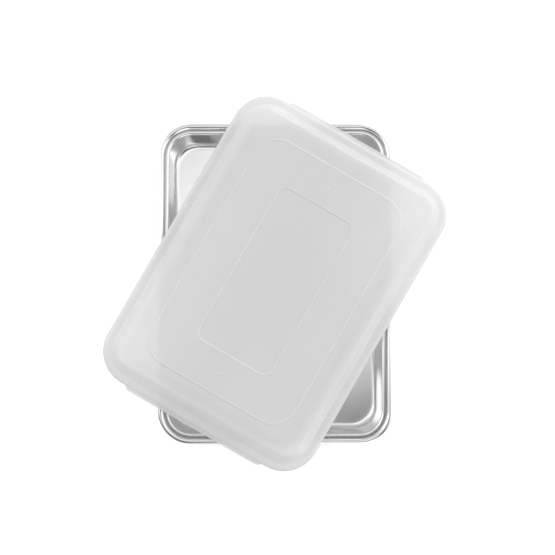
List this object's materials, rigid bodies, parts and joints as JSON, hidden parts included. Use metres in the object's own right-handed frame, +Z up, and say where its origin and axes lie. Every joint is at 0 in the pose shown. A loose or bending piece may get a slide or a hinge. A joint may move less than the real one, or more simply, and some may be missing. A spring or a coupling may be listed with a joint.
{
  "type": "sheet pan with lid",
  "caption": "Shallow rectangular aluminium baking pan with rounded corners, sloped walls and a rolled rim, and a translucent plastic lid with pull tabs lying askew on the rim.",
  "frame": {"origin": "centre of the pan's underside, on the surface that it stands on", "axes": "+Z up; the pan's long sides run along Y and its short sides along X; the lid is turned 30 degrees clockwise about Z, seen from above"},
  "size_m": [0.3502, 0.3826, 0.0485],
  "materials": {
    "pan_aluminium": "natural mill finish, softly reflective, with a fine rolling grain",
    "rim_wire_steel": "galvanised wire, dull grey",
    "lid_plastic": "milky translucent polypropylene, soft sheen with a fine moulded texture"
  },
  "bodies": {
    "pan": {"pan_shell": "pan_aluminium", "rim_wire": "rim_wire_steel"},
    "lid": {"lid": "lid_plastic"}
  },
  "joints": [
    {"name": "lid_lift", "type": "slide", "parent": "pan", "child": "lid", "axis": [0, 0, 1], "range_m": [0, 0.06]}
  ]
}
